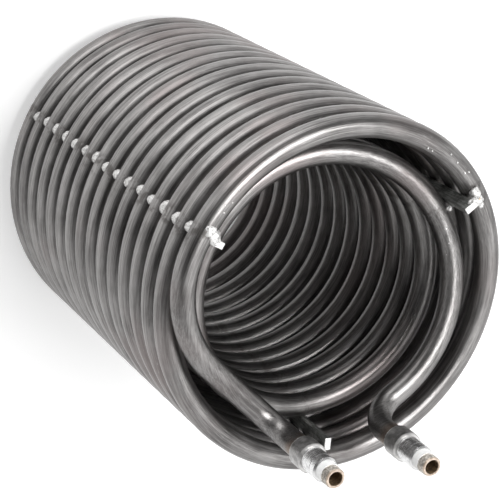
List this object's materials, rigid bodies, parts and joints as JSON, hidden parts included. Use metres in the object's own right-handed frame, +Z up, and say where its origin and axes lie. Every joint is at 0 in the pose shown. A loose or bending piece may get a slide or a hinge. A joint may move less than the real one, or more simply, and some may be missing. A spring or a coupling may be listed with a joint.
{
  "type": "double tube coil",
  "caption": "Double heating coil of bare steel tube standing on end: an outer and an inner helix held apart by flat bars, with both tube ends led out to threaded nipples.",
  "frame": {"origin": "on the floor under the middle of the box round the whole part", "axes": "+Z up along the coil's axis, from the plain end on the floor to the mouth with the nipples; +Y from the axis to the side away from the nipples, +X to the right as seen from above with +Y ahead"},
  "size_m": [0.3302, 0.33, 0.5196],
  "materials": {
    "tube_steel": "drawn, satin, bare",
    "collar_steel": "dark, turned, bare",
    "nipple_plating": "bright zinc plating",
    "tape_white": "matte tape",
    "bar_steel": "sheared flat bar, bare"
  },
  "bodies": {
    "root": {"outer_coil": "tube_steel", "inner_coil": "tube_steel", "collar_left": "collar_steel", "collar_right": "collar_steel", "nipple_left": "nipple_plating", "nipple_right": "nipple_plating", "thread_tape_left": "tape_white", "thread_tape_right": "tape_white", "spacer_bar_upper_left": "bar_steel", "spacer_bar_upper_right": "bar_steel", "spacer_bar_lower": "bar_steel"}
  },
  "joints": []
}
